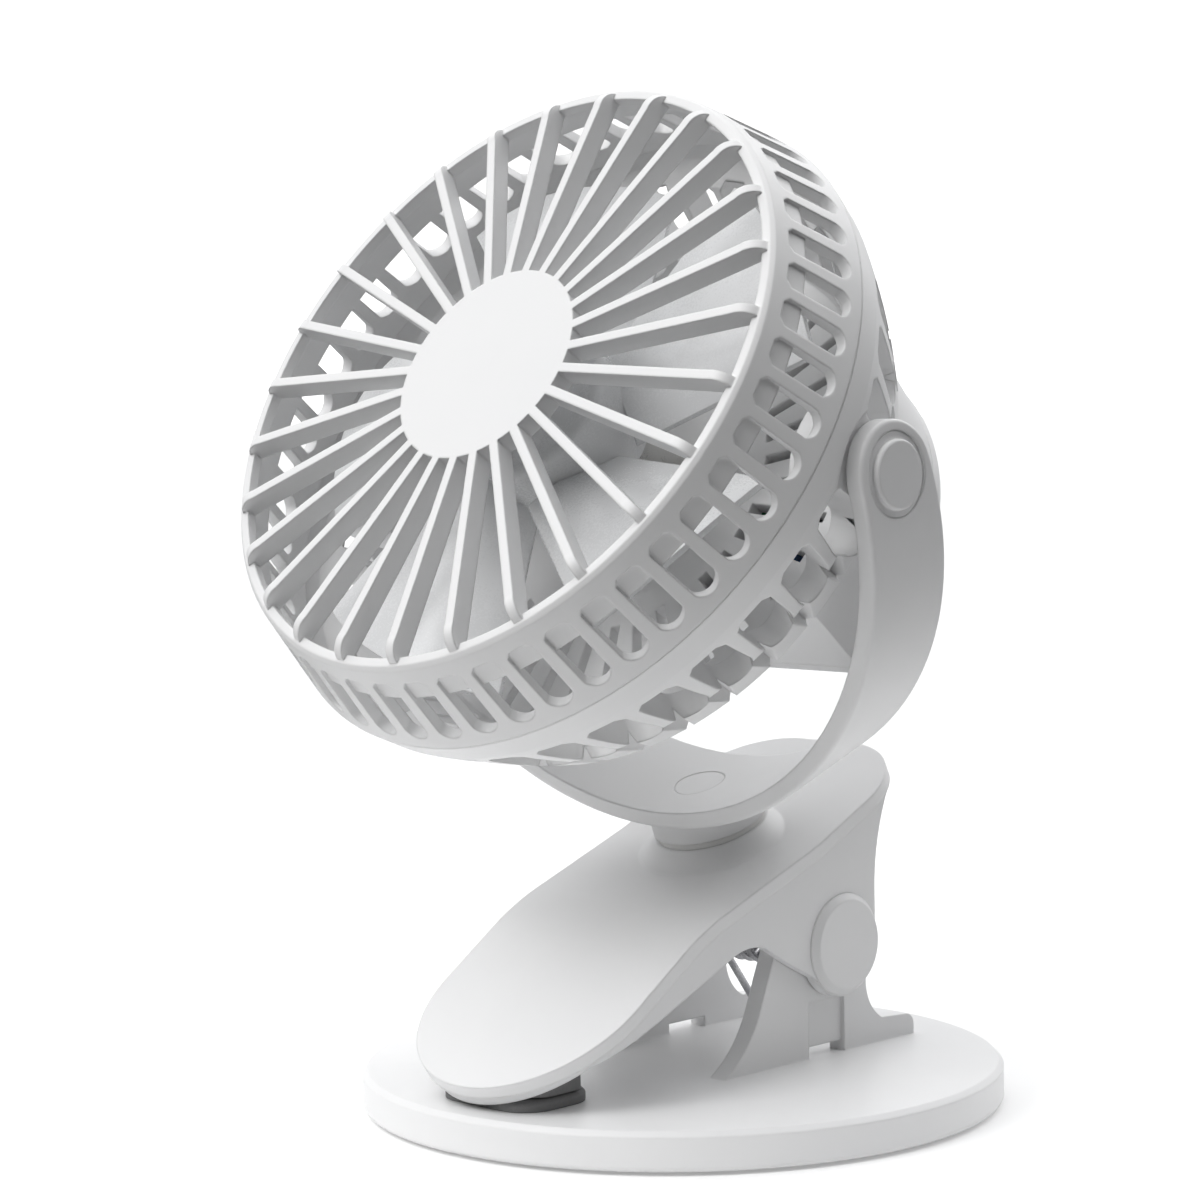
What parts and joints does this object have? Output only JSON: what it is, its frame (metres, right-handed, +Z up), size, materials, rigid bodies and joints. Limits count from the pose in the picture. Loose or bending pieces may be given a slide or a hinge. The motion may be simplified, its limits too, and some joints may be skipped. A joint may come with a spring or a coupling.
{
  "type": "clip fan",
  "caption": "Small cordless fan with a round caged head that tilts in a U-shaped yoke, which swivels on a sprung clip whose lower jaw is a round standing base.",
  "frame": {"origin": "centre of the round base on the surface it stands on", "axes": "+Z up, -Y towards the clip's nose and the fan's front, +X to the right of someone who faces the fan"},
  "size_m": [0.1478, 0.1507, 0.2057],
  "materials": {
    "white_plastic": "satin moulded white",
    "blade_plastic": "satin moulded white",
    "button_plastic": "semi gloss",
    "dark_rubber": "matt",
    "steel": "zinc plated",
    "spring_steel": "bright drawn",
    "bush_plastic": "plain",
    "cell_wrap": "shrink wrap",
    "board_green": "lacquered",
    "lens_clear": "clear moulded"
  },
  "bodies": {
    "base": {"base_plate": "white_plastic", "base_cover": "white_plastic", "base_mat": "dark_rubber", "base_screws": "steel", "lower_jaw_pad": "dark_rubber", "hinge_pin": "steel", "torsion_spring": "spring_steel"},
    "jaw": {"clip_arm": "white_plastic", "upper_jaw_pad": "dark_rubber", "hinge_cap_left": "white_plastic", "hinge_cap_right": "white_plastic", "swivel_disc": "bush_plastic", "spring_leg": "spring_steel"},
    "yoke": {"yoke": "white_plastic", "swivel_screw": "steel", "swivel_washer": "steel", "swivel_nut": "steel", "pivot_bushes": "bush_plastic", "pivot_washers": "steel", "pivot_cap_left": "white_plastic", "pivot_cap_right": "white_plastic"},
    "head": {"front_cage": "white_plastic", "rear_cage": "white_plastic", "rear_housing": "white_plastic", "rear_cover": "white_plastic", "housing_screws": "steel", "pivot_screws": "steel", "motor_can": "steel", "motor_bearings": "steel", "battery": "cell_wrap", "circuit_board": "board_green", "charging_port": "steel", "status_lens": "lens_clear"},
    "rotor": {"impeller": "blade_plastic", "motor_shaft": "steel"},
    "button": {"power_button": "button_plastic"}
  },
  "joints": [
    {"name": "clip_hinge", "type": "hinge", "parent": "base", "child": "jaw", "pos_m": [0, 0.0232, 0.0315], "axis": [-1, 0, 0], "range_deg": [0, 30], "stiffness_Nm_per_rad": 1.2, "springref_deg": -34.38},
    {"name": "yoke_swivel", "type": "hinge", "parent": "jaw", "child": "yoke", "pos_m": [0, -0.01699, 0.13], "axis": [0, -0.342, 0.9397], "continuous": true},
    {"name": "head_tilt", "type": "hinge", "parent": "yoke", "child": "head", "pos_m": [0, -0.01699, 0.13], "axis": [-1, 0, 0], "range_deg": [-42, 58]},
    {"name": "rotor_spin", "type": "hinge", "parent": "head", "child": "rotor", "pos_m": [0, -0.01699, 0.13], "axis": [0, -0.8443, 0.5358], "continuous": true},
    {"name": "button_press", "type": "slide", "parent": "head", "child": "button", "axis": [0, -0.8443, 0.5358], "range_m": [0, 0.0008], "stiffness_N_per_m": 500}
  ]
}
